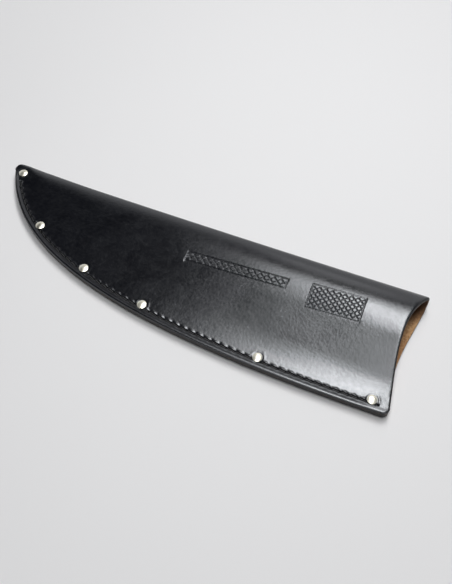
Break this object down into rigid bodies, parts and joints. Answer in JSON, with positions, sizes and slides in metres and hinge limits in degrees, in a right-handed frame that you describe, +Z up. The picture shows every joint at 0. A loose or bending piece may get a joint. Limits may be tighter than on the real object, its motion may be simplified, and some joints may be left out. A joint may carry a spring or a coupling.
{
  "type": "knife blade guard",
  "caption": "Folded leather sheath for a chef's knife, with a flat back, a belly-curved seam closed by a welt, stitching and domed rivets, and an open mouth for the blade.",
  "frame": {"origin": "on the table plane, below the middle of the sheath's outline", "axes": "+X along the fold, from the tip to the mouth; +Y from the seam to the fold; +Z up, away from the table, with the back panel down"},
  "size_m": [0.299, 0.085, 0.0165],
  "materials": {
    "dyed_leather": "smooth black-dyed grain side with a satin shine, undyed tan flesh side, burnished edges",
    "undyed_leather": "undyed vegetable-tanned leather, matt",
    "rivet_metal": "polished nickel plate",
    "thread": "waxed black thread"
  },
  "bodies": {
    "root": {"sheath_body": "dyed_leather", "welt": "undyed_leather", "front_thread": "thread", "back_thread": "thread", "rivet_cap_1": "rivet_metal", "rivet_cap_2": "rivet_metal", "rivet_cap_3": "rivet_metal", "rivet_cap_4": "rivet_metal", "rivet_cap_5": "rivet_metal", "rivet_cap_6": "rivet_metal", "rivet_post_1": "rivet_metal", "rivet_post_2": "rivet_metal", "rivet_post_3": "rivet_metal", "rivet_post_4": "rivet_metal", "rivet_post_5": "rivet_metal", "rivet_post_6": "rivet_metal"}
  },
  "joints": []
}
